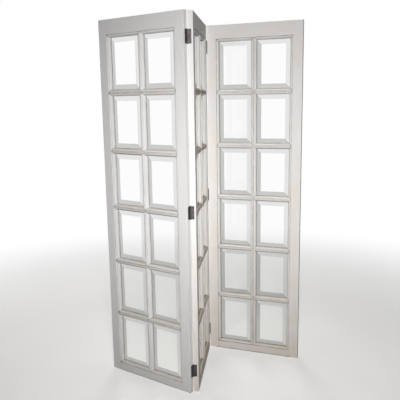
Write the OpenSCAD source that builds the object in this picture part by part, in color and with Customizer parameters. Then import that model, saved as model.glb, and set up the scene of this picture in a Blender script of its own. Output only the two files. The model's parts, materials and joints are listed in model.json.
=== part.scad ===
// Glass folding screen: three glazed panels joined by butt hinges, standing in a zigzag.
// Each panel is a painted wooden frame with one upright glazing bar and rows of cross bars.
// Every opening holds a bevelled pane, kept in its rebate by four mitred beads at the back.
//
// A panel has a frame of its own: X runs from its left edge to its right, Y runs from its front
// face to its back face, and Z runs up from the floor. The whole screen has its origin on the
// floor, in the middle of the space that it takes up at rest.

/* [Panels] */
// Height of each panel
panel_h = 1830; // [1500:10:2100]
// Width of each panel
panel_w = 515; // [420:5:640]
// Thickness of each panel
panel_t = 25; // [24:0.5:32]
// Radius that eases the outer edges of a panel
edge_r = 1.5; // [0.5:0.25:2.5]

/* [Fold] */
// Direction in which the middle panel runs, from the X axis
middle_heading = 82.6; // [60:0.1:110]
// Angle between the left and middle panels: 0 is folded shut, 180 is opened out straight
left_fold = 63.3; // [5:0.1:175]
// Angle between the middle and right panels: 0 is folded shut, 180 is opened out straight
right_fold = 77.7; // [5:0.1:175]

/* [Frame members] */
// Width of a stile's flat face
stile_face_w = 50.5; // [44:0.5:75]
// Width of the top rail's flat face
top_rail_face_w = 71.5; // [45:0.5:100]
// Width of the bottom rail's flat face
bottom_rail_face_w = 41.5; // [35:0.5:100]
// Width of the upright glazing bar's flat face
upright_face_w = 3; // [2:0.5:12]
// Width of a cross glazing bar's flat face
cross_face_w = 3; // [2:0.5:12]
// Number of rows of panes
pane_rows = 6; // [3:1:7]
// How much shorter the top row of panes is than the others
top_row_less = 7; // [0:0.5:20]

/* [Moulding] */
// Width of the moulded edge round each pane
moulding_w = 14.5; // [12:0.5:16]
// Width of the sunk line between the flat face and the round
quirk_w = 3; // [1.5:0.1:4]
// Depth of the sunk line below the flat face
quirk_d = 3; // [1:0.1:4]
// Width of the small step at the foot of the round
nose_w = 1; // [0.6:0.1:3]
// Depth of the ledge that the glass bears on, from the front face
ledge_d = 16.5; // [15.5:0.25:18]

/* [Glass] */
// Thickness of a pane
glass_t = 4; // [3:0.5:5]
// Thickness left at a pane's edge, where its bevel ends
pane_edge_t = 2; // [1.5:0.1:2.8]
// Width of the bevel ground on the front of a pane
bevel_w = 30; // [14:1:40]
// Width of the rebate behind the moulding
rebate_w = 8; // [6:0.5:9]
// Gap round a pane's edge in its rebate
glass_gap = 1.5; // [0.5:0.1:2.5]
// Gap between a pane and the ledge or the bead that holds it
seat_gap = 0.1; // [0.05:0.05:0.3]
// Radius of the rounded corner along a bead
bead_r = 4; // [1:0.5:5]
// Gap between a bead and its neighbours
bead_gap = 0.1; // [0.05:0.05:0.3]

/* [Joinery] */
// Thickness of a rail's tenon, in the middle of the panel's thickness
rail_tenon_t = 9; // [6:0.5:10]
// Length of a rail's tenon in its stile
rail_tenon_l = 32; // [20:1:32]
// Width of the shoulder above and below a rail's tenon
rail_shoulder = 10; // [5:1:15]
// Thickness of a glazing bar's tenon, in the middle of the web behind the glass line
bar_tenon_t = 5.5; // [4:0.5:6]
// Length of a glazing bar's tenon
bar_tenon_l = 12; // [6:1:20]
// Width of the shoulder on each side of a glazing bar's tenon
bar_shoulder = 2; // [1:0.5:3]
// Gap round a tenon in its mortise
tenon_gap = 0.1; // [0.05:0.05:0.2]

/* [Hinges] */
// Length of a hinge
hinge_l = 63.5; // [50:0.5:90]
// Distance from the end of a panel to the middle of its nearest hinge
hinge_inset = 112; // [60:1:200]
// Width of a leaf where it is let into the edge of a stile
leaf_w = 17; // [14:0.5:20]
// Thickness of a leaf
leaf_t = 1.5; // [1.5:0.1:2]
// Gap round a leaf in its recess
leaf_gap = 0.1; // [0.05:0.05:0.3]
// Distance from the face of a panel to the hinge's axis
axis_proud = 1; // [0.6:0.1:2]
// Gap between the edges of two panels that are opened out straight
edge_gap = 2; // [1:0.2:3]
// Outer radius of the knuckles
knuckle_r = 3; // [2.6:0.1:3.4]
// Number of knuckles on a hinge, which is odd
knuckles = 5; // [3:2:7]
// Gap between two knuckles that turn on each other
knuckle_gap = 0.3; // [0.2:0.05:0.5]
// Gap between a knuckle and the other leaf's plate, and round the knuckles in a stile's groove
plate_gap = 0.4; // [0.3:0.05:0.6]
// Radius of the hinge pin
pin_r = 1.6; // [1.3:0.05:1.9]
// Running clearance between the pin and the knuckles
pin_gap = 0.05; // [0.02:0.01:0.08]
// Height of the rounded head at each end of the pin
pin_head_h = 2; // [1:0.1:3]

/* [Screws] */
// Number of screws in each leaf
leaf_screws = 3; // [2:1:4]
// Distance from the end of a leaf to its first screw
screw_inset = 9; // [6:0.5:14]
// Distance that the screws step from side to side along a leaf
screw_stagger = 4; // [0:0.5:5]
// Radius of a screw's shank
screw_r = 1.75; // [1.75:0.05:2]
// Radius of a screw's countersunk head
screw_head_r = 3.1; // [2.8:0.1:3.1]
// Length of a screw
screw_l = 18; // [12:1:19]
// Length of a screw's point
screw_point_l = 4; // [2:0.5:6]
// Width of the slot in a screw's head
slot_w = 0.8; // [0.6:0.1:1]
// Depth of the slot in a screw's head
slot_d = 0.7; // [0.4:0.1:0.9]
// Gap between a screw and its hole
screw_gap = 0.05; // [0.02:0.01:0.1]

/* [Hidden] */
$fn = 48;
// How far a cutter reaches past the surface that it cuts
over = 1;

PANELS = ["left_panel", "middle_panel", "right_panel"];
FOLDS = ["left_fold", "right_fold"];
HINGES = ["bottom_hinge", "middle_hinge", "top_hinge"];

// Sight widths: how wide each member looks from the front, with its moulding
stile_w = stile_face_w + moulding_w;
top_rail_w = top_rail_face_w + moulding_w;
bottom_rail_w = bottom_rail_face_w + moulding_w;
upright_w = upright_face_w + 2 * moulding_w;
cross_w = cross_face_w + 2 * moulding_w;

// Openings between the members
cross_bars = pane_rows - 1;
sight_w = (panel_w - 2 * stile_w - upright_w) / 2;
sight_h = (panel_h - top_rail_w - bottom_rail_w - cross_bars * cross_w + top_row_less) / pane_rows;
column_x = [stile_w, panel_w - stile_w - sight_w];

// The height of row n's lower sight line, of the middle of the cross bar above it, and of its panes
function row_z(n) = bottom_rail_w + n * (sight_h + cross_w);
function cross_z(n) = row_z(n) + sight_h + cross_w / 2;
function row_h(n) = n == pane_rows - 1 ? sight_h - top_row_less : sight_h;

// The moulding's round, whose foot stands on the nose above the ledge
round_r = moulding_w - quirk_w - nose_w;
round_foot_d = quirk_d + round_r;

// The glass, which touches the ledge with its bevel
pane_edge = rebate_w - glass_gap;
bevel_drop = glass_t - pane_edge_t;
drop_at_sight = bevel_drop * (1 - pane_edge / bevel_w);
glass_front = ledge_d + seat_gap - drop_at_sight;
bead_front = glass_front + glass_t + seat_gap;

// The web of a glazing bar, between the panes and behind the ledge that they bear on
upright_web_w = upright_w - 2 * rebate_w;
cross_web_w = cross_w - 2 * rebate_w;

// How deep each kind of tenon starts
rail_tenon_y = (panel_t - rail_tenon_t) / 2;
bar_tenon_y = (ledge_d + panel_t - bar_tenon_t) / 2;

// The hinges, with the heights of their middles
hinge_z = [hinge_inset, panel_h / 2, panel_h - hinge_inset];
knuckle_l = hinge_l / knuckles;
bore_r = pin_r + pin_gap;
groove_r = knuckle_r + plate_gap;
screw_head_h = screw_head_r - screw_r;

// Each panel's turn about Z, and where the two fold axes lie in the panels' own frames
heading = [
    middle_heading - (180 - left_fold),
    middle_heading,
    middle_heading - (180 - right_fold)
];
axis_back_right = [panel_w + edge_gap / 2, panel_t + axis_proud];
axis_back_left = [-edge_gap / 2, panel_t + axis_proud];
axis_front_right = [panel_w + edge_gap / 2, -axis_proud];
axis_front_left = [-edge_gap / 2, -axis_proud];

function turned(p, deg) = [
    p.x * cos(deg) - p.y * sin(deg),
    p.x * sin(deg) + p.y * cos(deg)
];

// Panel corners worked out from the left fold's axis, before the origin is set
right_axis_from_left = turned(axis_front_right - axis_back_left, heading[1]);
corner_from_left_axis = [
    -turned(axis_back_right, heading[0]),
    -turned(axis_back_left, heading[1]),
    right_axis_from_left - turned(axis_front_left, heading[2])
];

// The space that the screen takes up at rest, whose outermost points are eased corners
eased_corners = [
    for (p = [0:len(PANELS) - 1], x = [edge_r, panel_w - edge_r], y = [edge_r, panel_t - edge_r])
        corner_from_left_axis[p] + turned([x, y], heading[p])
];
xs = [for (c = eased_corners) c.x];
ys = [for (c = eased_corners) c.y];
middle = [(min(xs) + max(xs)) / 2, (min(ys) + max(ys)) / 2];

// Where each panel's own frame stands, and the two fold axes, in the screen's frame
panel_at = [for (corner = corner_from_left_axis) corner - middle];
fold_at = [-middle, right_axis_from_left - middle];

wood = "#E8E4DB";
glass = [0.78, 0.86, 0.84, 0.35];
metal = "#2A2522";

function panel_node(p, name) = str(PANELS[p], "_", name);
function hinge_node(f, h, name) = str(FOLDS[f], "_", HINGES[h], "_", name);

PANEL_PARTS = concat(
    ["left_stile", "right_stile", "top_rail", "bottom_rail", "upright_bar"],
    [for (n = [1:cross_bars]) str("cross_bar_", n)],
    ["panes", "beads", "screws"]
);
HINGE_PARTS = ["left_leaf", "right_leaf", "pin"];

// Extrudes a profile drawn across (X) and deep (Y) along Z, from the floor up to the length
module upright_run(length) {
    linear_extrude(length) children();
}

// Extrudes a profile drawn upwards (X) and deep (Y) along the panel's X axis
module level_run(length) {
    translate([length, 0, 0])
        rotate([0, -90, 0])
            linear_extrude(length) children();
}

// Extrudes an outline drawn across (X) and upwards (Y) right through the panel's thickness
module through_panel() {
    translate([0, panel_t + over, 0])
        rotate([90, 0, 0])
            linear_extrude(panel_t + 2 * over) children();
}

// What the moulding and the rebate take from a square edge. The flat face ends at X = 0.
module moulding_cut() {
    difference() {
        polygon([
            [0, -over],
            [moulding_w + over, -over],
            [moulding_w + over, round_foot_d],
            [quirk_w, round_foot_d],
            [quirk_w, quirk_d],
            [0, quirk_d]
        ]);
        translate([quirk_w, round_foot_d]) circle(r = round_r);
    }
    translate([moulding_w - rebate_w, ledge_d])
        square([rebate_w + over, panel_t - ledge_d + over]);
}

// A strip of the panel's thickness whose edge at X = 0 is eased on both faces
module eased_strip(w) {
    translate([edge_r, 0]) square([w - edge_r, panel_t]);
    translate([0, edge_r]) square([2 * edge_r, panel_t - 2 * edge_r]);
    for (y = [edge_r, panel_t - edge_r])
        translate([edge_r, y]) circle(r = edge_r);
}

// The section of a stile or a rail: eased on its outer edge and moulded on its inner edge
module border_profile(face_w) {
    difference() {
        eased_strip(face_w + moulding_w);
        translate([face_w, 0]) moulding_cut();
    }
}

// The section of a glazing bar, moulded on both edges
module bar_profile(face_w) {
    bar_w = face_w + 2 * moulding_w;
    difference() {
        translate([-bar_w / 2, 0]) square([bar_w, panel_t]);
        translate([face_w / 2, 0]) moulding_cut();
        mirror([1, 0]) translate([face_w / 2, 0]) moulding_cut();
    }
}

// The inner line of an upright member, which steps back in a mitre beside each rail and cross bar
function mitred_rows(face_x) = [
    for (n = [0:pane_rows - 1])
        each [
            [face_x, row_z(n) - moulding_w],
            [face_x + moulding_w + over, row_z(n) + over],
            [face_x + moulding_w + over, row_z(n) + row_h(n) - over],
            [face_x, row_z(n) + row_h(n) + moulding_w]
        ]
];

function mirrored(points, line_x) = [
    for (n = [len(points) - 1:-1:0]) [2 * line_x - points[n].x, points[n].y]
];

// A tenon, given its low corner across and up, its width and height, its depth in the panel and
// its thickness. It grows on every side by a gap where it cuts a mortise.
module tenon_block(from, size, y, thickness, gap) {
    translate([from.x - gap, y - gap, from.y - gap])
        cube([size.x + 2 * gap, thickness + 2 * gap, size.y + 2 * gap]);
}

// A rail's tenon at the left end, for a flat face that starts at height z
module rail_tenon(z, face_w, gap = 0) {
    tenon_block([stile_face_w - rail_tenon_l, z + rail_shoulder],
                [rail_tenon_l + over, face_w - 2 * rail_shoulder],
                rail_tenon_y, rail_tenon_t, gap);
}

// A cross bar's tenon at the left end, which starts where its web meets the stile
module cross_tenon(n, gap = 0) {
    height = cross_web_w - 2 * bar_shoulder;
    tenon_block([stile_w - rebate_w - bar_tenon_l, cross_z(n) - height / 2],
                [bar_tenon_l + over, height], bar_tenon_y, bar_tenon_t, gap);
}

// The upright bar's tenons in the two rails
module upright_tenons(gap = 0) {
    width = upright_web_w - 2 * bar_shoulder;
    for (z = [bottom_rail_w - rebate_w - bar_tenon_l, panel_h - top_rail_w + rebate_w - over])
        tenon_block([(panel_w - width) / 2, z], [width, bar_tenon_l + over],
                    bar_tenon_y, bar_tenon_t, gap);
}

// Draws what is made for a panel's left side again on its right side
module right_side() {
    translate([panel_w, 0, 0]) mirror([1, 0, 0]) children();
}

// Which fold axis each edge of a panel has. An outer edge has none.
function edge_axis(p, side) =
    p == 0 ? (side == 1 ? axis_back_right : undef) :
    p == 1 ? (side == 0 ? axis_back_left : axis_front_right) :
    (side == 0 ? axis_front_left : undef);

// Moves a leaf drawn beside the axis, for a panel that lies towards +X and +Y, to its own edge
module at_edge(p, side) {
    axis = edge_axis(p, side);
    translate([axis.x, axis.y, 0])
        mirror([side, 0, 0])
            mirror([0, axis.y > 0 ? 1 : 0, 0])
                children();
}

// Where the screws go in a leaf: height from the leaf's middle, and distance from the axis. They
// step from side to side about the middle of the plate that the knuckles leave clear.
function screw_z(n) = -hinge_l / 2 + screw_inset + n * (hinge_l - 2 * screw_inset) / (leaf_screws - 1);
function screw_y(n) =
    (groove_r + axis_proud + leaf_w + (n % 2 == 0 ? screw_stagger : -screw_stagger)) / 2;

// One screw, driven along +X from the face of the leaf, or its hole where it has a gap
module screw_body(gap = 0) {
    rotate([0, 90, 0]) {
        cylinder(r1 = screw_head_r + gap, r2 = screw_r + gap, h = screw_head_h);
        cylinder(r = screw_r + gap, h = screw_l - screw_point_l);
        translate([0, 0, screw_l - screw_point_l])
            cylinder(r1 = screw_r + gap, r2 = gap, h = screw_point_l + gap);
    }
}

module leaf_screw_places() {
    for (n = [0:leaf_screws - 1])
        translate([edge_gap / 2, screw_y(n), screw_z(n)]) children();
}

// The recess for a leaf, the groove that the knuckles and the pin's heads lie in, and the holes for
// the screws, in the edge of a stile
module leaf_recess() {
    translate([edge_gap / 2 - over, axis_proud - over, -hinge_l / 2 - leaf_gap])
        cube([leaf_t + over, leaf_w + over + leaf_gap, hinge_l + 2 * leaf_gap]);
    cylinder(r = groove_r, h = hinge_l + 2 * (pin_head_h + plate_gap), center = true);
    leaf_screw_places() screw_body(screw_gap);
}

// The mortises and hinge recesses cut in the stile on one side of a panel
module stile_cuts(p, side) {
    if (side == 0) stile_mortises();
    else right_side() stile_mortises();
    if (!is_undef(edge_axis(p, side)))
        for (z = hinge_z)
            at_edge(p, side) translate([0, 0, z]) leaf_recess();
}

module stile_mortises() {
    rail_tenon(0, bottom_rail_face_w, tenon_gap);
    rail_tenon(panel_h - top_rail_face_w, top_rail_face_w, tenon_gap);
    for (n = [0:cross_bars - 1]) cross_tenon(n, tenon_gap);
}

// A stile drawn on the left, before anything is cut in it
module stile_blank() {
    intersection() {
        upright_run(panel_h) border_profile(stile_face_w);
        level_run(stile_w) stile_end_profile();
        through_panel() polygon(concat(
            [[-over, -over], [stile_face_w, -over]],
            mitred_rows(stile_face_w),
            [[stile_face_w, panel_h + over], [-over, panel_h + over]]
        ));
    }
}

// A stile seen from its edge: both of its ends are eased
module stile_end_profile() {
    intersection() {
        eased_strip(panel_h);
        translate([panel_h, 0]) mirror([1, 0]) eased_strip(panel_h);
    }
}

module stile(p, side) {
    color(wood)
        difference() {
            if (side == 0) stile_blank();
            else right_side() stile_blank();
            stile_cuts(p, side);
        }
}

// A rail drawn at the foot of the panel, with its mitred corners and the notch for the upright bar
module rail(face_w) {
    half = [
        [stile_face_w, -over],
        [stile_face_w, face_w],
        [stile_w + over, face_w + moulding_w + over],
        [(panel_w - upright_w) / 2 - over, face_w + moulding_w + over],
        [(panel_w - upright_face_w) / 2, face_w]
    ];
    intersection() {
        level_run(panel_w) border_profile(face_w);
        through_panel() polygon(concat(half, mirrored(half, panel_w / 2)));
    }
    rail_tenon(0, face_w);
    right_side() rail_tenon(0, face_w);
}

module bottom_rail() {
    color(wood)
        difference() {
            rail(bottom_rail_face_w);
            upright_tenons(tenon_gap);
        }
}

module top_rail() {
    color(wood)
        difference() {
            translate([0, 0, panel_h]) mirror([0, 0, 1]) rail(top_rail_face_w);
            upright_tenons(tenon_gap);
        }
}

// The upright bar runs from rail to rail. Its web is notched where each cross bar passes behind.
module upright_bar() {
    half = mitred_rows((panel_w + upright_face_w) / 2);
    color(wood) {
        difference() {
            intersection() {
                translate([panel_w / 2, 0, 0]) upright_run(panel_h) bar_profile(upright_face_w);
                through_panel() polygon(concat(half, mirrored(half, panel_w / 2)));
            }
            for (n = [0:cross_bars - 1])
                translate([(panel_w - upright_w) / 2, ledge_d, cross_z(n) - cross_web_w / 2])
                    cube([upright_w, panel_t - ledge_d + over, cross_web_w]);
        }
        upright_tenons();
    }
}

// One arm of a cross bar's moulded front, which ends in a mitred point at the stile and at the
// upright bar
module cross_arm_outline() {
    lower = [
        [stile_face_w, -cross_face_w / 2],
        [stile_w + over, -cross_w / 2 - over],
        [stile_w + sight_w - over, -cross_w / 2 - over],
        [stile_w + sight_w + moulding_w, -cross_face_w / 2]
    ];
    upper = [for (n = [len(lower) - 1:-1:0]) [lower[n].x, -lower[n].y]];
    polygon(concat(lower, upper));
}

// A cross bar runs from stile to stile. Its web is whole, and its moulded front stops at the upright.
module cross_bar(n) {
    color(wood) {
        translate([0, 0, cross_z(n)])
            intersection() {
                level_run(panel_w) bar_profile(cross_face_w);
                union() {
                    through_panel() cross_arm_outline();
                    right_side() through_panel() cross_arm_outline();
                    translate([panel_w / 2 - upright_w, ledge_d, -cross_w])
                        cube([2 * upright_w, panel_t, 2 * cross_w]);
                }
            }
        cross_tenon(n);
        right_side() cross_tenon(n);
    }
}

// A pane's section: flat behind, and bevelled along both edges in front
module bevelled_profile(w) {
    polygon([
        [0, glass_front + bevel_drop],
        [bevel_w, glass_front],
        [w - bevel_w, glass_front],
        [w, glass_front + bevel_drop],
        [w, glass_front + glass_t],
        [0, glass_front + glass_t]
    ]);
}

module pane(height) {
    pane_w = sight_w + 2 * pane_edge;
    pane_h = height + 2 * pane_edge;
    translate([-pane_edge, 0, -pane_edge])
        intersection() {
            upright_run(pane_h) bevelled_profile(pane_w);
            level_run(pane_w) bevelled_profile(pane_h);
        }
}

module panes() {
    color(glass)
        for (x = column_x, n = [0:pane_rows - 1])
            translate([x, 0, row_z(n)]) pane(row_h(n));
}

// A bead's section. It lies in the rebate at X below 0, and shows its rounded corner at X = 0.
module bead_profile() {
    bead_w = rebate_w - bead_gap;
    difference() {
        translate([-bead_w, bead_front]) square([bead_w, panel_t - bead_front]);
        difference() {
            translate([-bead_r, panel_t - bead_r]) square([bead_r + over, bead_r + over]);
            translate([-bead_r, panel_t - bead_r]) circle(r = bead_r);
        }
    }
}

// The outline of a bead along the X axis, mitred at both ends
module bead_outline(length) {
    reach = rebate_w + over;
    polygon([
        [bead_gap - reach, -reach],
        [bead_gap + over, over],
        [length - bead_gap - over, over],
        [length - bead_gap + reach, -reach]
    ]);
}

// The bead along an opening's lower edge
module level_bead() {
    intersection() {
        translate([-rebate_w, 0, 0]) level_run(sight_w + 2 * rebate_w) bead_profile();
        through_panel() bead_outline(sight_w);
    }
}

// The bead along an opening's left edge
module upright_bead(height) {
    intersection() {
        translate([0, 0, -rebate_w]) upright_run(height + 2 * rebate_w) bead_profile();
        through_panel() mirror([1, -1]) bead_outline(height);
    }
}

module beads() {
    color(wood)
        for (x = column_x, n = [0:pane_rows - 1])
            translate([x, 0, row_z(n)]) {
                level_bead();
                upright_bead(row_h(n));
                translate([sight_w, 0, row_h(n)])
                    mirror([1, 0, 0]) mirror([0, 0, 1]) {
                        level_bead();
                        upright_bead(row_h(n));
                    }
            }
}

// Leaf of hinge h, let into one side of panel p. It keeps the even knuckles for a parity of 0 and
// the odd ones for 1. It is drawn with its axis at X = Y = 0 and the panel towards +X and +Y.
module leaf(p, side, h, parity) {
    color(metal)
        at_edge(p, side)
            translate([0, 0, hinge_z[h]])
                difference() {
                    union() {
                        translate([edge_gap / 2, 0, -hinge_l / 2])
                            cube([leaf_t, axis_proud + leaf_w, hinge_l]);
                        cylinder(r = knuckle_r, h = hinge_l, center = true);
                    }
                    for (k = [0:knuckles - 1])
                        if (k % 2 != parity)
                            knuckle_notch(k);
                    cylinder(r = bore_r, h = hinge_l + 2 * over, center = true);
                    leaf_screw_places() screw_body(screw_gap);
                }
}

// Clears one knuckle of the other leaf, and runs out past the end of the hinge at the last ones
module knuckle_notch(k) {
    low = k == 0 ? -over : k * knuckle_l - knuckle_gap / 2;
    high = k == knuckles - 1 ? hinge_l + over : (k + 1) * knuckle_l + knuckle_gap / 2;
    translate([0, 0, low - hinge_l / 2])
        cylinder(r = groove_r, h = high - low);
}

// The pin of hinge h at fold f, with a rounded head at each end that rests on the last knuckle
module pin(f, h) {
    color(metal)
        translate([fold_at[f].x, fold_at[f].y, hinge_z[h]]) {
            cylinder(r = pin_r, h = hinge_l + pin_head_h, center = true);
            pin_head();
            mirror([0, 0, 1]) pin_head();
        }
}

module pin_head() {
    translate([0, 0, hinge_l / 2])
        rotate_extrude()
            difference() {
                square([knuckle_r, pin_head_h]);
                difference() {
                    translate([knuckle_r - pin_head_h / 2, pin_head_h / 2])
                        square(pin_head_h);
                    translate([knuckle_r - pin_head_h / 2, pin_head_h / 2])
                        circle(d = pin_head_h);
                }
            }
}

// One screw with a slotted head
module slotted_screw() {
    difference() {
        screw_body();
        translate([-over, -screw_head_r - over, -slot_w / 2])
            cube([slot_d + over, 2 * (screw_head_r + over), slot_w]);
    }
}

module screws(p) {
    color(metal)
        for (side = [0, 1])
            if (!is_undef(edge_axis(p, side)))
                for (z = hinge_z)
                    at_edge(p, side) translate([0, 0, z])
                        leaf_screw_places() slotted_screw();
}

// Stands a panel's own frame where the panel stands on the floor
module at_panel(p) {
    translate([panel_at[p].x, panel_at[p].y, 0]) rotate([0, 0, heading[p]]) children();
}

for (p = [0:len(PANELS) - 1]) {
    at_panel(p) stile(p, 0);
    at_panel(p) stile(p, 1);
    at_panel(p) top_rail();
    at_panel(p) bottom_rail();
    at_panel(p) upright_bar();
    for (n = [1:cross_bars])
        at_panel(p) cross_bar(n - 1);
    at_panel(p) panes();
    at_panel(p) beads();
    at_panel(p) screws(p);
}

// Fold 0 joins panels 0 and 1, and fold 1 joins panels 1 and 2. The middle panel's leaves have the
// even knuckles, the first and the last among them, and the other leaves have the odd ones.
for (f = [0:len(FOLDS) - 1], h = [0:len(HINGES) - 1]) {
    at_panel(f) leaf(f, 1, h, 1 - f);
    at_panel(f + 1) leaf(f + 1, 0, h, f);
    pin(f, h);
}
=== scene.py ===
# %% [markdown]
# # A glass folding screen
#
# This lesson dresses a finished model of a folding screen: three wooden panels with bevelled panes,
# joined by dark butt hinges. The wood is painted off-white and antiqued, which means that a thin
# brown glaze was wiped over the paint and stayed in the grooves and corners.
#
# Every board, pane, hinge and screw already comes as exact geometry, so the work here is light,
# camera and, above all, materials. We load the model first, because everything else is placed by it.

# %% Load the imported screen
import json
import math

import bpy
from mathutils import Matrix, Vector

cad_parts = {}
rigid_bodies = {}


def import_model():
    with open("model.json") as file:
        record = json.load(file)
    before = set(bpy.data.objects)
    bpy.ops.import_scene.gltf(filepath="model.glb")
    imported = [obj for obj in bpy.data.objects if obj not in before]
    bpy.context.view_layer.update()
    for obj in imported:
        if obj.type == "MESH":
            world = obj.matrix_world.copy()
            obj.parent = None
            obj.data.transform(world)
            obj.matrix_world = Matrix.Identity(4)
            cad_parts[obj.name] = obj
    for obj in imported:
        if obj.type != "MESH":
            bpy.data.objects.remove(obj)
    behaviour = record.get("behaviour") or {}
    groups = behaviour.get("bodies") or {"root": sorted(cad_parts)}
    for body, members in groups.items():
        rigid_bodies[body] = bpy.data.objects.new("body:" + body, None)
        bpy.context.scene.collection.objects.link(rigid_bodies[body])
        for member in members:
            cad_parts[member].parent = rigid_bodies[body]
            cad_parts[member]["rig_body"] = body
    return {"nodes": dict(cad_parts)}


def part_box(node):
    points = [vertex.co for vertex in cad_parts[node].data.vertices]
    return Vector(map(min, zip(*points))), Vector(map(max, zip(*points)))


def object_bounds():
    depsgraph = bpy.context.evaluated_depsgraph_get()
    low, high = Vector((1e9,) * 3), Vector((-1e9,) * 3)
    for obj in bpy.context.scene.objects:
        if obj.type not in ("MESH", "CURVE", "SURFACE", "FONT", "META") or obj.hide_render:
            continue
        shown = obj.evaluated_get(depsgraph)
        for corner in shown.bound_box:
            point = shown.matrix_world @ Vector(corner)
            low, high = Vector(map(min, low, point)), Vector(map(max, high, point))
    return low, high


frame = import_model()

cad_low, cad_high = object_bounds()
print("pieces:", len(frame["nodes"]), " size:", [round(c, 3) for c in cad_high - cad_low])

# %% [markdown]
# ## Where each panel stands
#
# Paint is brushed along a board, and glass is ground along its edges. To follow that, a material
# needs to know which way its panel faces. Each panel has two stiles, its upright outer boards, so
# the line from one stile's middle to the other's gives the panel's direction. We keep it as an
# angle about the upright axis, together with the panel's middle point.

# %% Measure the panels
PANELS = ("left_panel", "middle_panel", "right_panel")


def middle_of(node):
    low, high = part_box(node)
    return (low + high) / 2


def stand_of(panel):
    """The panel's middle, down on the floor, and the angle that it is turned to."""
    left = middle_of(panel + "_left_stile")
    right = middle_of(panel + "_right_stile")
    across = right - left
    middle = (left + right) / 2
    return Vector((middle.x, middle.y, cad_low.z)), math.atan2(across.y, across.x)


stand = {panel: stand_of(panel) for panel in PANELS}
for panel, (middle, angle) in stand.items():
    print(panel, "middle", [round(c, 3) for c in middle], "turned", round(math.degrees(angle), 1))

# %% [markdown]
# ## The grid of the panes
#
# Paint cracks and glaze gathers where two boards meet, so the paint also has to know where the
# joints are. All three panels are built alike, so one of them is enough to measure. From the left
# one we take the sight lines, which are the edges of the wood round each pane: how far they lie
# from the panel's middle line, and at which heights they come. For that, every corner of a piece is
# turned back into the panel's own directions, with X across it, Y through it and Z up.

# %% Measure the grid
def box_in_panel(node, panel):
    """A piece's lowest and highest corner in its panel's own directions."""
    middle, angle = stand[panel]
    to_panel = Matrix.Rotation(-angle, 4, "Z") @ Matrix.Translation(-middle)
    corners = [to_panel @ vertex.co for vertex in frame["nodes"][node].data.vertices]
    low = Vector(min(values) for values in zip(*corners))
    high = Vector(max(values) for values in zip(*corners))
    return low, high


_, bar_high = box_in_panel("left_panel_upright_bar", "left_panel")
stile_low, _ = box_in_panel("left_panel_right_stile", "left_panel")
first_low, first_high = box_in_panel("left_panel_cross_bar_1", "left_panel")
second_low, _ = box_in_panel("left_panel_cross_bar_2", "left_panel")
rail_low, _ = box_in_panel("left_panel_top_rail", "left_panel")

BAR_HALF = bar_high.x
STILE_LINE = stile_low.x
ROW_PITCH = second_low.z - first_low.z
PANE_HEIGHT = ROW_PITCH - (first_high.z - first_low.z)
FIRST_ROW = first_low.z - PANE_HEIGHT
TOP_LINE = rail_low.z
print("sight lines at", round(BAR_HALF, 4), round(STILE_LINE, 4), "rows", round(FIRST_ROW, 4),
      round(ROW_PITCH, 4), round(PANE_HEIGHT, 4), "top", round(TOP_LINE, 4))

# %% [markdown]
# ## The moulding
#
# A moulding runs round every pane. Away from the pane it ends in a narrow groove, the sunk line,
# and towards the pane it rounds down to the ledge that the glass lies on. These are the sizes of
# the joiner's cutter, the same on every board, so we note them here in metres: how wide the
# moulding is, how far inside its outer edge the glaze lies in the sunk line, and how deep the ledge
# is from the front. A panel's Y starts in the middle of its thickness, so the ledge's place on it
# is that depth less half the thickness.

# %% Note the moulding's sizes
MOULDING = 0.0145
GLAZE_INSET = 0.0013
SUNK_LINE = MOULDING - GLAZE_INSET
PANEL_THICKNESS, LEDGE_DEPTH = 0.025, 0.0165
LEDGE = LEDGE_DEPTH - PANEL_THICKNESS / 2
print("glaze line", round(SUNK_LINE, 4), "from the pane, ledge at Y", round(LEDGE, 4))

# %% [markdown]
# ## Small helpers for node trees
#
# A Blender material is a graph of nodes. Writing one in Python is mostly two actions: add a node,
# and join a socket to another. Three short helpers keep the rest of the lesson readable. `feed`
# takes a number, a colour or another node's output, and does the right thing with each, and `calc`
# is one Math node with its inputs fed.

# %% Helpers: add, feed and calc
def add(tree, kind, **settings):
    node = tree.nodes.new(kind)
    for name, value in settings.items():
        setattr(node, name, value)
    return node


def feed(tree, socket, source):
    """Joins an output to the socket, or sets the socket to a plain value."""
    if isinstance(source, bpy.types.NodeSocket):
        tree.links.new(source, socket)
    else:
        socket.default_value = source


def calc(tree, operation, a, b=None, clamp=False):
    """One Math node. It gives back its output."""
    node = add(tree, "ShaderNodeMath", operation=operation, use_clamp=clamp)
    feed(tree, node.inputs[0], a)
    if b is not None:
        feed(tree, node.inputs[1], b)
    return node.outputs[0]


print("ready: add, feed and calc")

# %% [markdown]
# ## Helpers for patterns
#
# Most of a finish comes from three nodes: a Noise Texture makes a pattern, a Map Range picks out
# the part of it that matters and softens its ends, and a Mix lays one colour over another by it.
# A noise's detail says how many finer layers it adds, and its roughness how strong they are.

# %% Helpers: ramp, noise and blend
def ramp(tree, value, low, high, out_low=0.0, out_high=1.0):
    """Stretches low..high to out_low..out_high with soft ends, and stops there."""
    node = add(tree, "ShaderNodeMapRange", interpolation_type="SMOOTHSTEP")
    for name, source in (
        ("Value", value),
        ("From Min", low),
        ("From Max", high),
        ("To Min", out_low),
        ("To Max", out_high),
    ):
        feed(tree, node.inputs[name], source)
    return node.outputs[0]


def noise(tree, vector, scale, detail=2.0, roughness=0.5):
    node = add(tree, "ShaderNodeTexNoise")
    feed(tree, node.inputs["Vector"], vector)
    feed(tree, node.inputs["Scale"], scale)
    node.inputs["Detail"].default_value = detail
    node.inputs["Roughness"].default_value = roughness
    return node.outputs["Fac"]


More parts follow.
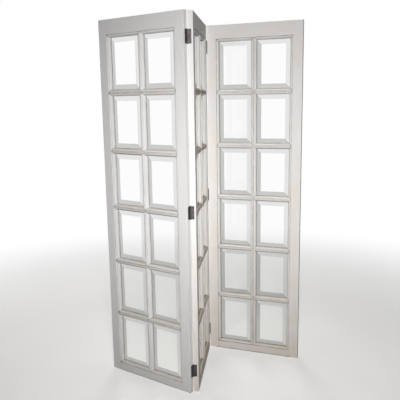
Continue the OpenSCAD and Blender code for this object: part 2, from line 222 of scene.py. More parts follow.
def blend(tree, amount, first, second):
    """Mixes two colours: amount 0 gives the first and 1 the second."""
    node = add(tree, "ShaderNodeMix", data_type="RGBA")
    feed(tree, node.inputs["Factor"], amount)
    feed(tree, node.inputs["A"], first)
    feed(tree, node.inputs["B"], second)
    return node.outputs["Result"]


print("ready: ramp, noise and blend")

# %% [markdown]
# ## Helpers for groups and colours
#
# An effect that several finishes share goes into a node group, which is built once and placed
# wherever it is needed. Its sockets have names, as on a ready-made node. Colours are easiest to
# read off a screen as 0 to 255, but Blender counts light itself, so `srgb` turns one into the other.

# %% Helpers: new_group, place_group and srgb
FLOAT, VECTOR = "NodeSocketFloat", "NodeSocketVector"


def new_group(name, inputs, outputs):
    """A shader node group with named sockets. It gives back the tree and its two end nodes."""
    tree = bpy.data.node_groups.new(name, "ShaderNodeTree")
    for title, kind, value in inputs:
        socket = tree.interface.new_socket(name=title, in_out="INPUT", socket_type=kind)
        if value is not None:
            socket.default_value = value
    for title, kind in outputs:
        tree.interface.new_socket(name=title, in_out="OUTPUT", socket_type=kind)
    return tree, add(tree, "NodeGroupInput"), add(tree, "NodeGroupOutput")


def place_group(tree, group, **sources):
    """Puts a group into a material and feeds its sockets, with _ in a name for each space."""
    node = add(tree, "ShaderNodeGroup", node_tree=group)
    for name, source in sources.items():
        feed(tree, node.inputs[name.replace("_", " ")], source)
    return node


def srgb(red, green, blue):
    """A colour as a picture editor shows it, 0 to 255, turned into Blender's linear values."""
    def linear(part):
        part = part / 255
        return part / 12.92 if part <= 0.04045 else ((part + 0.055) / 1.055) ** 2.4

    return (linear(red), linear(green), linear(blue), 1.0)


print("mid grey in linear light:", round(srgb(128, 128, 128)[0], 3))

# %% [markdown]
# ## Brush marks
#
# A brush leaves fine ridges along the board, and the paint film is a little thicker in some places
# than in others. Noise does both. Stretched noise gives the ridges: if the position is multiplied
# by a small number along the board, the pattern gets long that way. Slow, round noise gives the
# patches. The group is built once, and each material says which way its boards run.

# %% Group: brush marks
NOISE_LAYERS = 3.0
RIDGE_ROUGHNESS, PATCH_ROUGHNESS = 0.6, 0.55

brush_marks, start, end = new_group(
    "brush_marks",
    [
        ("Position", VECTOR, None),
        ("Stretch", VECTOR, (1.0, 1.0, 1.0)),
        ("Ridges per metre", FLOAT, 300.0),
        ("Patches per metre", FLOAT, 6.0),
    ],
    [("Ridges", FLOAT), ("Patches", FLOAT)],
)
position = start.outputs["Position"]
stretched = add(brush_marks, "ShaderNodeVectorMath", operation="MULTIPLY")
feed(brush_marks, stretched.inputs[0], position)
feed(brush_marks, stretched.inputs[1], start.outputs["Stretch"])
ridge_scale, patch_scale = start.outputs["Ridges per metre"], start.outputs["Patches per metre"]
ridges = noise(brush_marks, stretched.outputs[0], ridge_scale, NOISE_LAYERS, RIDGE_ROUGHNESS)
patches = noise(brush_marks, position, patch_scale, NOISE_LAYERS, PATCH_ROUGHNESS)
feed(brush_marks, end.inputs["Ridges"], ridges)
feed(brush_marks, end.inputs["Patches"], patches)
print("group", brush_marks.name, "has", len(brush_marks.nodes), "nodes")

# %% [markdown]
# ## Glaze in the hollows
#
# Wiped glaze stays where the rag can't reach: in the sunk line beside a moulding, in mitred corners
# and where a bar meets the glass. An Ambient Occlusion node finds such places by itself. It sends
# short rays out from the surface and reports how many get away, so hollows come out dark. Some
# noise breaks the line up, because a hand wipes it unevenly.

# %% Group: glaze in hollows
WIPES_PER_METRE = 28.0
WIPED_CLEAN, LEFT_ALONE = 0.32, 0.62

glaze_in_hollows, start, end = new_group(
    "glaze_in_hollows",
    [
        ("Position", VECTOR, None),
        ("Reach", FLOAT, 0.01),
        ("Shallowest", FLOAT, 0.3),
        ("Deepest", FLOAT, 0.8),
        ("Unevenness", FLOAT, 0.5),
    ],
    [("Mask", FLOAT), ("Wiped", FLOAT)],
)
openness = add(glaze_in_hollows, "ShaderNodeAmbientOcclusion", samples=8)
feed(glaze_in_hollows, openness.inputs["Distance"], start.outputs["Reach"])
hollow = calc(glaze_in_hollows, "SUBTRACT", 1.0, openness.outputs["AO"])
filled = ramp(glaze_in_hollows, hollow, start.outputs["Shallowest"], start.outputs["Deepest"])

unevenness = start.outputs["Unevenness"]
wiped = noise(glaze_in_hollows, start.outputs["Position"], WIPES_PER_METRE, NOISE_LAYERS)
wiped = ramp(glaze_in_hollows, wiped, WIPED_CLEAN, LEFT_ALONE)
always_kept = calc(glaze_in_hollows, "SUBTRACT", 1.0, unevenness)
kept = calc(glaze_in_hollows, "MULTIPLY", wiped, unevenness)
kept = calc(glaze_in_hollows, "ADD", always_kept, kept)
feed(glaze_in_hollows, end.inputs["Mask"], calc(glaze_in_hollows, "MULTIPLY", filled, kept))
feed(glaze_in_hollows, end.inputs["Wiped"], kept)
print("group", glaze_in_hollows.name, "has", len(glaze_in_hollows.nodes), "nodes")

# %% [markdown]
# ## Joint lines: two depths
#
# Mouldings meet in mitres, at 45 degrees, and rails meet stiles in straight seams. The model's
# boards touch without a gap, so a line of dirt has to show the seam. Two depths describe any place
# on the front: how far it lies inside the wood from the nearest sight line beside it, and from the
# nearest one above or below. The bars repeat from row to row, and so does the second depth: a
# Modulo turns the height into a place within one row. The group takes many Math nodes, so it gets
# a `calc` of its own, with the tree already filled in.

# %% Group: joint lines, the two depths
joint_lines, start, end = new_group(
    "joint_lines",
    [("Position", VECTOR, None)],
    [("Line", FLOAT), ("Corner", FLOAT), ("Sunk line", FLOAT), ("Beside panes", FLOAT)],
)


def joint_calc(operation, a, b=None):
    return calc(joint_lines, operation, a, b)


place = add(joint_lines, "ShaderNodeSeparateXYZ")
feed(joint_lines, place.inputs[0], start.outputs["Position"])

sideways = joint_calc("ABSOLUTE", place.outputs["X"])
inside_bar = joint_calc("SUBTRACT", BAR_HALF, sideways)
inside_stile = joint_calc("SUBTRACT", sideways, STILE_LINE)
beside = joint_calc("MAXIMUM", inside_bar, inside_stile)

height = place.outputs["Z"]
in_row = joint_calc("FLOORED_MODULO", joint_calc("SUBTRACT", height, FIRST_ROW), ROW_PITCH)
over_pane = joint_calc("SUBTRACT", in_row, PANE_HEIGHT)
under_next_pane = joint_calc("SUBTRACT", ROW_PITCH, in_row)
above = joint_calc("MINIMUM", over_pane, under_next_pane)
above = joint_calc("MAXIMUM", above, joint_calc("SUBTRACT", FIRST_ROW, height))
above = joint_calc("MAXIMUM", above, joint_calc("SUBTRACT", height, TOP_LINE))
print("two depths take", len(joint_lines.nodes), "nodes")

# %% [markdown]
# ## Joint lines: four masks
#
# In a mitre both depths are the same, which makes its line easy to find. A seam lies where a stile's
# moulding ends, above and below the panes. Where both depths come to about the full width of the
# moulding lies the corner of the sunk line, and glaze collects in a spot there, while the sunk line
# itself is where the larger depth is the groove's. Each line is full within its half width, and
# faded out where it ends softly. The last mask tells how far out glaze may lie: as far as one and a
# half mouldings from the panes, and nowhere from two on, because the outer edges of a panel are
# easy to wipe.

# %% Group: joint lines, the four masks
LINE_HALF, LINE_SOFT = 0.0006, 0.002
SEAM_STRENGTH = 0.12
SPOT_FROM, SPOT_FULL = 0.005, 0.0128
SUNK_HALF, SUNK_SOFT = 0.0008, 0.0018
GLAZED_MOULDINGS, BARE_MOULDINGS = 1.5, 2.0

deeper = joint_calc("MAXIMUM", beside, above)
on_moulding = joint_calc("LESS_THAN", deeper, MOULDING)
apart = joint_calc("ABSOLUTE", joint_calc("SUBTRACT", beside, above))
mitre = ramp(joint_lines, apart, LINE_SOFT, LINE_HALF)
mitre = joint_calc("MULTIPLY", mitre, on_moulding)

off_seam = joint_calc("ABSOLUTE", joint_calc("SUBTRACT", sideways, STILE_LINE + MOULDING))
seam = ramp(joint_lines, off_seam, LINE_SOFT, LINE_HALF, 0.0, SEAM_STRENGTH)
seam = joint_calc("MULTIPLY", seam, joint_calc("GREATER_THAN", above, MOULDING))
line = joint_calc("MAXIMUM", mitre, seam)

beside_spot = ramp(joint_lines, beside, SPOT_FROM, SPOT_FULL)
above_spot = ramp(joint_lines, above, SPOT_FROM, SPOT_FULL)
spot = joint_calc("MULTIPLY", beside_spot, above_spot)
spot = joint_calc("MULTIPLY", spot, on_moulding)

off_sunk = joint_calc("ABSOLUTE", joint_calc("SUBTRACT", deeper, SUNK_LINE))
sunk = ramp(joint_lines, off_sunk, SUNK_SOFT, SUNK_HALF)

in_front = joint_calc("LESS_THAN", place.outputs["Y"], LEDGE)
for output, mask in (("Line", line), ("Corner", spot), ("Sunk line", sunk)):
    feed(joint_lines, end.inputs[output], joint_calc("MULTIPLY", mask, in_front))

glazed_to = STILE_LINE + GLAZED_MOULDINGS * MOULDING
bare_from = STILE_LINE + BARE_MOULDINGS * MOULDING
beside_panes = ramp(joint_lines, sideways, bare_from, glazed_to)
feed(joint_lines, end.inputs["Beside panes"], beside_panes)
print("group", joint_lines.name, "has", len(joint_lines.nodes), "nodes")

# %% [markdown]
# ## Rubbed edges
#
# Corners lose their paint first. A Bevel node works out how the surface would lean if its edges
# were rounded. Where that differs from the surface's own direction, there is an edge. The rounded
# direction is useful by itself too: it makes every sharp edge catch a thin line of light, as real
# edges do, so the group puts out both. Noise decides which stretches of an edge are worn, and the
# higher the patchiness, the fewer they are.

# %% Group: rubbed edges
EDGE_FROM, EDGE_FULL = 0.02, 0.2
CHIPS_PER_METRE, CHIP_LAYERS, CHIP_ROUGHNESS = 22.0, 4.0, 0.6
WORN_FROM_LEAST, WORN_FROM_RANGE, WORN_SOFT = 0.3, 0.4, 0.12

rubbed_edges, start, end = new_group(
    "rubbed_edges",
    [
        ("Position", VECTOR, None),
        ("Radius", FLOAT, 0.001),
        ("Patchiness", FLOAT, 0.5),
    ],
    [("Mask", FLOAT), ("Normal", VECTOR)],
)
rounded = add(rubbed_edges, "ShaderNodeBevel", samples=4)
feed(rubbed_edges, rounded.inputs["Radius"], start.outputs["Radius"])
surface = add(rubbed_edges, "ShaderNodeNewGeometry")
same = add(rubbed_edges, "ShaderNodeVectorMath", operation="DOT_PRODUCT")
feed(rubbed_edges, same.inputs[0], rounded.outputs["Normal"])
feed(rubbed_edges, same.inputs[1], surface.outputs["Normal"])
turned = calc(rubbed_edges, "SUBTRACT", 1.0, same.outputs["Value"])
edge = ramp(rubbed_edges, turned, EDGE_FROM, EDGE_FULL)

chips = noise(rubbed_edges, start.outputs["Position"], CHIPS_PER_METRE, CHIP_LAYERS, CHIP_ROUGHNESS)
spared = calc(rubbed_edges, "MULTIPLY", start.outputs["Patchiness"], WORN_FROM_RANGE)
worn_from = calc(rubbed_edges, "ADD", WORN_FROM_LEAST, spared)
worn_full = calc(rubbed_edges, "ADD", worn_from, WORN_SOFT)
worn = ramp(rubbed_edges, chips, worn_from, worn_full)
feed(rubbed_edges, end.inputs["Mask"], calc(rubbed_edges, "MULTIPLY", edge, worn))
feed(rubbed_edges, end.inputs["Normal"], rounded.outputs["Normal"])
print("group", rubbed_edges.name, "has", len(rubbed_edges.nodes), "nodes")

# %% [markdown]
# ## Dust, grime and painted shade underneath
#
# A screen stands on the floor for years, so its lowest part is the dirtiest, and dust settles on
# whatever faces up. Undersides get painted shade, a grey that darkens them: strongly low down, and
# only a little near the top, where the lamp shines up at them. The height comes from the position's
# Z, and the direction from the normal's Z, which is 1 on a face that looks straight up.

# %% Group: dust, grime and painted shade
DUST_CLOUDS_PER_METRE, DUST_LAYERS = 9.0, 4.0
THIN_FROM, THICK_FROM, THINNEST = 0.3, 0.7, 0.4
LEDGE_FROM, LEDGE_FULL = 0.1, 0.8
# Undersides get painted shade: a face must look down for it, it is full below the lower of the two
# heights, and only a little is left above the higher one.
UNDER_FROM, UNDER_FULL = -0.05, -0.6
SHADE_FADED_AT, SHADE_FULL_BELOW, SHADE_LEFT_AT_TOP = 1.55, 1.05, 0.15

dust_age_and_shade, start, end = new_group(
    "dust_age_and_shade",
    [
        ("Position", VECTOR, None),
        ("Top", FLOAT, 0.6),
    ],
    [("Low down", FLOAT), ("On ledges", FLOAT), ("Shade underneath", FLOAT)],
)
split = add(dust_age_and_shade, "ShaderNodeSeparateXYZ")
feed(dust_age_and_shade, split.inputs[0], start.outputs["Position"])
facing = add(dust_age_and_shade, "ShaderNodeSeparateXYZ")
surface = add(dust_age_and_shade, "ShaderNodeNewGeometry")
feed(dust_age_and_shade, facing.inputs[0], surface.outputs["Normal"])
height, upward = split.outputs["Z"], facing.outputs["Z"]

cloud = noise(dust_age_and_shade, start.outputs["Position"], DUST_CLOUDS_PER_METRE, DUST_LAYERS)
cloud = ramp(dust_age_and_shade, cloud, THIN_FROM, THICK_FROM, THINNEST, 1.0)
low_down = ramp(dust_age_and_shade, height, start.outputs["Top"], 0.0)
ledge = ramp(dust_age_and_shade, upward, LEDGE_FROM, LEDGE_FULL)
# Painted shade: faces that look down are darkened, most of all low down.
under = ramp(dust_age_and_shade, upward, UNDER_FROM, UNDER_FULL)
shade_by_height = ramp(dust_age_and_shade, height, SHADE_FADED_AT, SHADE_FULL_BELOW, SHADE_LEFT_AT_TOP, 1.0)
for output, where, how_much in (
    ("Low down", low_down, cloud),
    ("On ledges", ledge, cloud),
    ("Shade underneath", under, shade_by_height),
):
    feed(dust_age_and_shade, end.inputs[output], calc(dust_age_and_shade, "MULTIPLY", where, how_much))
print("group", dust_age_and_shade.name, "has", len(dust_age_and_shade.nodes), "nodes")

# %% [markdown]
# ## A material that knows its panel
#
# `Object` coordinates follow a piece when it moves, so a pattern never slides over a folding panel.
# A Mapping node of the kind TEXTURE then undoes the panel's turn and shift. What comes out is the
# place on the panel: X across it, Y through its thickness, Z up.

# %% Helpers: start a material
def blank_material(name):
    """An empty material. It gives back the material and its node tree, which has an output."""
    material = bpy.data.materials.new(name)
    material.use_nodes = True
    material.node_tree.nodes.clear()
    add(material.node_tree, "ShaderNodeOutputMaterial", name="output")
    return material, material.node_tree


def show(tree, shader):
    """Joins a shader to the material's output."""
    tree.links.new(shader, tree.nodes["output"].inputs["Surface"])


def panel_material(name, panel):
    """A material with a Principled BSDF, and the place on the panel to feed its patterns with."""
    material, tree = blank_material(name)
    surface = add(tree, "ShaderNodeBsdfPrincipled")
    show(tree, surface.outputs[0])
    middle, angle = stand[panel]
    place = add(tree, "ShaderNodeTexCoord")
    turn = add(tree, "ShaderNodeMapping", vector_type="TEXTURE")
    turn.inputs["Location"].default_value = middle
    turn.inputs["Rotation"].default_value = (0, 0, angle)
    tree.links.new(place.outputs["Object"], turn.inputs["Vector"])
    return material, tree, surface, turn.outputs["Vector"]


print("materials start from a place on their panel")

# %% [markdown]
# ## Colours of the antiqued paint
#
# The finish is built mostly in the order in which it came about: off-white paint with its brush
# marks, a thin film of glaze where it was wiped badly, a yellowed tone in patches, grime near the
# floor, dust on the ledges, painted shade that darkens the undersides, bare undercoat on rubbed
# edges, and last the glaze in hollows and joints. Each layer is a colour, and each has an amount
# that says how much of it shows at most.

# %% Colours and amounts of the paint
PAINT, PAINT_THIN = srgb(238, 236, 235), srgb(231, 229, 228)
YELLOWED = srgb(233, 223, 207)
# Of the next three colours the last is no glaze: it is the grey of the painted shade on undersides.
GLAZE, GLAZE_FILM, UNDERSIDE_SHADE = srgb(104, 86, 72), srgb(168, 158, 144), srgb(150, 144, 138)
UNDERCOAT = srgb(158, 132, 106)
GRIME, LEDGE_DUST = srgb(214, 196, 174), srgb(208, 197, 164)

GRIME_AMOUNT = {"left_panel": 0.08, "middle_panel": 0.5, "right_panel": 0.38}
# The underside amount says how strong the painted shade on undersides is at most.
LEDGE_DUST_AMOUNT, UNDERSIDE_SHADE_AMOUNT, UNDERCOAT_AMOUNT = 0.5, 0.75, 0.5
LINE_AMOUNT, SUNK_LINE_AMOUNT = 0.8, 0.75
print("paint in linear light:", [round(part, 3) for part in PAINT[:3]])

# %% [markdown]
# ## Four kinds of board, three panels
#
# Stiles and upright bars are brushed up and down, rails and cross bars from side to side. The three
# panels haven't aged alike either: the left one is a clean, cool white, while the other two are
# warmer and their bars and mouldings hold more glaze. So one table says which way the brush marks
# of a kind of board are stretched, to about 30 times their width, and another says how much wear it
# shows on each panel.

# %% Kinds of board and their wear
ALONG = 0.035
UPRIGHT, LEVEL = (1.0, 1.0, ALONG), (ALONG, 1.0, 1.0)
BOARDS = {"stile": UPRIGHT, "upright_bar": UPRIGHT, "rail": LEVEL, "cross_bar": LEVEL}
# For each kind of board: glaze in the hollows, a thin film of glaze all over, yellowed patches
WEAR = {
    "left_panel": {
        "stile": (0.05, 0.0, 0.0),
        "upright_bar": (0.0, 0.0, 0.0),
        "rail": (0.6, 0.0, 0.0),
        "cross_bar": (0.65, 0.0, 0.3),
    },
    "middle_panel": {
        "stile": (0.1, 0.0, 0.3),
        "upright_bar": (0.1, 0.1, 0.3),
        "rail": (0.9, 0.1, 0.4),
        "cross_bar": (0.9, 0.35, 0.5),
    },
    "right_panel": {
        "stile": (0.7, 0.0, 0.5),
        "upright_bar": (0.7, 0.05, 0.2),
        "rail": (0.9, 0.0, 0.4),
        "cross_bar": (0.65, 0.0, 0.15),
    },
}
print("kinds of board:", len(BOARDS), "on", len(WEAR), "panels")

# %% [markdown]
# ## Paint, dirt, painted shade and glaze
#
# Two functions make the layers. The first mixes each colour over the last one, by a mask from one
# of the groups, and one of its layers is painted shade on the undersides. The second works out where
# the glaze stayed: in seams and corners on every board, and in hollows and sunk lines as far as the
# table says. The glaze is laid on last, because it is the darkest layer and has to stay crisp.

# %% The layers of the paint
RIDGE_THIN, RIDGE_THICK = 0.3, 0.7
PATCH_FROM, PATCH_FULL = 0.35, 0.7


def paint_dirt_and_shade(tree, panel, board, brush, rubbed, dust_and_shade):
    _, film, yellowing = WEAR[panel][board]
    ridges, patches = brush.outputs["Ridges"], brush.outputs["Patches"]
    colour = blend(tree, ramp(tree, ridges, RIDGE_THIN, RIDGE_THICK), PAINT_THIN, PAINT)
    colour = blend(tree, film, colour, GLAZE_FILM)
    yellow = ramp(tree, patches, PATCH_FROM, PATCH_FULL, 0.0, yellowing)
    colour = blend(tree, yellow, colour, YELLOWED)
    for mask, amount, tone in (
        (dust_and_shade.outputs["Low down"], GRIME_AMOUNT[panel], GRIME),
        (dust_and_shade.outputs["On ledges"], LEDGE_DUST_AMOUNT, LEDGE_DUST),
        # painted shade: undersides darkened in grey
        (dust_and_shade.outputs["Shade underneath"], UNDERSIDE_SHADE_AMOUNT, UNDERSIDE_SHADE),
        (rubbed.outputs["Mask"], UNDERCOAT_AMOUNT, UNDERCOAT),
    ):
        colour = blend(tree, calc(tree, "MULTIPLY", mask, amount), colour, tone)
    return colour


def glaze_left(tree, in_hollows, glaze, joints):
    """Two masks: glaze in the seams and corners, and glaze in those and in the hollows."""
    wiped = glaze.outputs["Wiped"]
    seams = calc(tree, "MULTIPLY", joints.outputs["Line"], LINE_AMOUNT)
    seams = calc(tree, "MAXIMUM", seams, joints.outputs["Corner"])
    seams = calc(tree, "MULTIPLY", seams, wiped)
    sunk = calc(tree, "MULTIPLY", joints.outputs["Sunk line"], wiped)
    sunk = calc(tree, "MULTIPLY", sunk, SUNK_LINE_AMOUNT)
    hollows = calc(tree, "MULTIPLY", glaze.outputs["Mask"], joints.outputs["Beside panes"])
    hollows = calc(tree, "MULTIPLY", calc(tree, "MAXIMUM", hollows, sunk), in_hollows)
    return seams, calc(tree, "MAXIMUM", seams, hollows, clamp=True)


print("ready: paint_dirt_and_shade and glaze_left")

# %% [markdown]
# ## Antiqued paint
#
# One function now makes a paint for each kind of board on each panel. The masks serve more than the
# colour: glaze is duller than paint, so it raises the roughness, and the seams lower the surface a
# little through a Bump node. That node also takes the rounded edges as the direction to start from.

# %% Build the paint
ROUGH_THIN, ROUGH_THICK, GLAZE_ROUGHER = 0.72, 0.6, 0.2
PAINT_SPECULAR = 0.12
BRUSH_STRENGTH, BRUSH_DEPTH = 0.2, 0.0003


def antiqued_paint(panel, board):
    material, tree, surface, position = panel_material(f"antiqued_paint_{panel}_{board}", panel)
    brush = place_group(tree, brush_marks, Position=position, Stretch=BOARDS[board])
    glaze = place_group(tree, glaze_in_hollows, Position=position, Reach=0.014,
                        Shallowest=0.16, Deepest=0.5, Unevenness=0.4)
    joints = place_group(tree, joint_lines, Position=position)
    rubbed = place_group(tree, rubbed_edges, Position=position, Radius=0.0012, Patchiness=0.75)
    dust_and_shade = place_group(tree, dust_age_and_shade, Position=position, Top=0.75)

    ridges = brush.outputs["Ridges"]
    seams, glazed = glaze_left(tree, WEAR[panel][board][0], glaze, joints)
    colour = paint_dirt_and_shade(tree, panel, board, brush, rubbed, dust_and_shade)
    feed(tree, surface.inputs["Base Color"], blend(tree, glazed, colour, GLAZE))

    rough = ramp(tree, ridges, RIDGE_THIN, RIDGE_THICK, ROUGH_THIN, ROUGH_THICK)
    rough = calc(tree, "ADD", rough, calc(tree, "MULTIPLY", glazed, GLAZE_ROUGHER), clamp=True)
    feed(tree, surface.inputs["Roughness"], rough)
    surface.inputs["Specular IOR Level"].default_value = PAINT_SPECULAR

    bump = add(tree, "ShaderNodeBump")
    bump.inputs["Strength"].default_value = BRUSH_STRENGTH
    bump.inputs["Distance"].default_value = BRUSH_DEPTH
    feed(tree, bump.inputs["Height"], calc(tree, "SUBTRACT", ridges, seams))
    feed(tree, bump.inputs["Normal"], rubbed.outputs["Normal"])
    feed(tree, surface.inputs["Normal"], bump.outputs["Normal"])
    return material


paint = {(panel, board): antiqued_paint(panel, board) for panel in PANELS for board in BOARDS}
print("paints:", len(paint))

# %% [markdown]
# ## The bevels of a pane
#
# Each pane has a wide bevel ground round its front. Such bevels show as strips with mitred corners,
# because a bevel bends the view aside: on the left and at the foot of a pane it shows a darker part
# of a room than on the other two sides. This plain studio has no darker part, so that shade is
# painted into the glass's colour: dim on these two sides, and a fainter painted grey on the others.
# We find the bevels by their direction: turned back into the panel's directions, the normal leans
# across or up the panel there.
# A bevel drops 2 mm over its 30 mm, so it leans by about 0.066, and a flat pane by nothing.

# %% Painted shade on the bevelled glass
CLEAR, BEVEL_PAINTED_SHADE, BEVEL_FAINT_SHADE = srgb(251, 252, 251), srgb(160, 160, 159), srgb(208, 209, 208)
BEVEL_LEAN = 0.066
BEVEL_FROM, BEVEL_FULL = 0.5 * BEVEL_LEAN, 0.9 * BEVEL_LEAN


def bevel_painted_shade(tree, panel):
    place = add(tree, "ShaderNodeTexCoord")
    unturn = add(tree, "ShaderNodeVectorRotate", rotation_type="Z_AXIS")
    unturn.inputs["Angle"].default_value = -stand[panel][1]
    tree.links.new(place.outputs["Normal"], unturn.inputs["Vector"])
    lean = add(tree, "ShaderNodeSeparateXYZ")
    tree.links.new(unturn.outputs["Vector"], lean.inputs[0])
    # Painted shade by side: bevels on the left and at the foot are dim, those on the right and at
    # the top faintly grey.
    right_or_up = calc(tree, "MAXIMUM", lean.outputs["X"], lean.outputs["Z"])
    left_or_down = calc(tree, "MINIMUM", lean.outputs["X"], lean.outputs["Z"])
    faint = ramp(tree, right_or_up, BEVEL_FROM, BEVEL_FULL)
    dim = ramp(tree, left_or_down, -BEVEL_FROM, -BEVEL_FULL)
    return blend(tree, dim, blend(tree, faint, CLEAR, BEVEL_FAINT_SHADE), BEVEL_PAINTED_SHADE)


print("a bevel's normal leans by", BEVEL_LEAN)

# %% [markdown]
# ## Bevelled glass
#
# Clear glass is a Principled BSDF with Transmission at 1, and a few smudges that are hardly rougher
# than the rest. Light from a lamp or from the floor has to reach what is behind a pane, which true
# refraction blocks, so for shadow rays and diffuse rays the pane turns transparent. That takes a
# Mix Shader for each of them, whose factor is the Light Path's answer itself.

# %% Build the glass
GLASS_IOR = 1.5
LET_THROUGH = srgb(244, 245, 244)
SMUDGES_PER_METRE, SMUDGE_LAYERS, SMUDGE_BREAKUP = 14.0, 5.0, 0.6
SMUDGE_FROM, SMUDGE_FULL, SMUDGE_ROUGHNESS = 0.45, 0.8, 0.03


def bevelled_glass(panel):
    material, tree, surface, position = panel_material(f"bevelled_glass_{panel}", panel)
    feed(tree, surface.inputs["Base Color"], bevel_painted_shade(tree, panel))
    smudge = noise(tree, position, SMUDGES_PER_METRE, SMUDGE_LAYERS, SMUDGE_BREAKUP)
    smudge = ramp(tree, smudge, SMUDGE_FROM, SMUDGE_FULL)
    feed(tree, surface.inputs["Roughness"], calc(tree, "MULTIPLY", smudge, SMUDGE_ROUGHNESS))
    surface.inputs["IOR"].default_value = GLASS_IOR
    surface.inputs["Transmission Weight"].default_value = 1.0

    ray = add(tree, "ShaderNodeLightPath")
    through = add(tree, "ShaderNodeBsdfTransparent")
    through.inputs["Color"].default_value = LET_THROUGH
    shown = surface.outputs[0]
    for kind in ("Is Shadow Ray", "Is Diffuse Ray"):
        either = add(tree, "ShaderNodeMixShader")
        tree.links.new(ray.outputs[kind], either.inputs["Fac"])
        tree.links.new(shown, either.inputs[1])
        tree.links.new(through.outputs[0], either.inputs[2])
        shown = either.outputs[0]
    show(tree, shown)
    return material


glass = {panel: bevelled_glass(panel) for panel in PANELS}
print("glass:", [g.name for g in glass.values()])

# %% [markdown]
# ## Dark bronze
#
# The hinges are stamped steel with a dark bronze finish. It is a metal, so its colour is the colour
# of its reflection. Handling polishes the edges, where the steel shows a little brighter, and the
# flat parts have a slow cloudiness. The screws get the same metal, much darker and rougher.

# %% Build the metal
BRONZE, BRONZE_SCREW, POLISHED = srgb(64, 60, 61), srgb(8, 7, 7), srgb(150, 142, 136)
HINGE_ROUGHNESS, SCREW_ROUGHNESS = 0.4, 0.5
METALLIC = 0.85
POLISHED_AMOUNT = 0.6
CLOUDS_PER_METRE, CLOUD_LAYERS, CLOUD_BREAKUP = 60.0, 5.0, 0.6
CLOUD_FROM, CLOUD_FULL, CLOUD_BRIGHTER, CLOUD_ROUGHER = 0.3, 0.7, 2.2, 0.12
GRAINS_PER_METRE, GRAIN_STRENGTH, GRAIN_DEPTH = 900.0, 0.15, 0.0001


def dark_bronze(name, panel, body, roughness):
    material, tree, surface, position = panel_material(name, panel)
    rubbed = place_group(tree, rubbed_edges, Position=position, Radius=0.0006, Patchiness=0.2)
    cloud = noise(tree, position, CLOUDS_PER_METRE, CLOUD_LAYERS, CLOUD_BREAKUP)
    cloud = ramp(tree, cloud, CLOUD_FROM, CLOUD_FULL)
    clouded = tuple(part * CLOUD_BRIGHTER for part in body[:3]) + (1.0,)
    polish = calc(tree, "MULTIPLY", rubbed.outputs["Mask"], POLISHED_AMOUNT)
    colour = blend(tree, polish, blend(tree, cloud, body, clouded), POLISHED)
    feed(tree, surface.inputs["Base Color"], colour)
    surface.inputs["Metallic"].default_value = METALLIC
    rough = calc(tree, "ADD", roughness, calc(tree, "MULTIPLY", cloud, CLOUD_ROUGHER))
    feed(tree, surface.inputs["Roughness"], rough)

    bump = add(tree, "ShaderNodeBump")
    bump.inputs["Strength"].default_value = GRAIN_STRENGTH
    bump.inputs["Distance"].default_value = GRAIN_DEPTH
    feed(tree, bump.inputs["Height"], noise(tree, position, GRAINS_PER_METRE))
    feed(tree, bump.inputs["Normal"], rubbed.outputs["Normal"])
    feed(tree, surface.inputs["Normal"], bump.outputs["Normal"])
    return material


hinge_metal = {
    panel: dark_bronze(f"dark_bronze_{panel}", panel, BRONZE, HINGE_ROUGHNESS)
    for panel in PANELS
}
screw_metal = {
    panel: dark_bronze(f"dark_bronze_screws_{panel}", panel, BRONZE_SCREW, SCREW_ROUGHNESS)
    for panel in PANELS
}
print("metals:", len(hinge_metal) + len(screw_metal))

# %% [markdown]
# ## Give every piece its finish
#
# A piece's name says what it is, so a few rules cover all of them. The name of a board holds its
# kind, and the small beads that hold the panes are painted like the stiles. A hinge leaf belongs to
# the panel that it is let into, which is the body that it moves with. Only material slots change
# here: the pieces stay as packed.

# %% Assign the materials
def finish_for(name, panel):
    if name.endswith("_panes"):
        return glass[panel]
    if name.endswith("_screws"):
        return screw_metal[panel]
    if "_hinge_" in name:
        return hinge_metal[panel]
    board = next((word for word in BOARDS if word in name), "stile")
    return paint[panel, board]


for name, piece in frame["nodes"].items():
    finish = finish_for(name, piece["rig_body"])
    piece.data.materials.clear()
    piece.data.materials.append(finish)
print("finishes given to", len(frame["nodes"]), "pieces")

# %% [markdown]
# ## A floor that runs out into white
#
# The screen stands on a plain pale floor. Close to the screen the floor is an ordinary surface that
# takes light and shadow, with a slight glow that lifts it to its pale tone. From 1 m to 3.4 m away
# it turns into plain white, for every ray that carries a picture: straight from the camera,
# mirrored in metal, or through glass. For all other rays it is a weak grey, so that it lights the
# screen only a little: undersides and hollows stay as dark as they are in the photograph.

# %% Make the floor's material
FLOOR_PALE, FLOOR_PALEST = srgb(226, 224, 221), srgb(232, 230, 227)
FLOOR_BOUNCE = srgb(150, 148, 145)
FLOOR_LIFT = 0.32
FLOOR_CLEAR, FLOOR_WHITE = 1.0, 3.4
MOTTLES_PER_METRE, MOTTLE_LAYERS = 1.5, 4.0
MOTTLE_FROM, MOTTLE_FULL = 0.3, 0.7


def picture_ray(tree):
    """1 for rays that carry a picture, and 0 for rays that only light things."""
    ray = add(tree, "ShaderNodeLightPath")
    seen = calc(tree, "MAXIMUM", ray.outputs["Is Camera Ray"], ray.outputs["Is Glossy Ray"])
    return calc(tree, "MAXIMUM", seen, ray.outputs["Is Transmission Ray"])


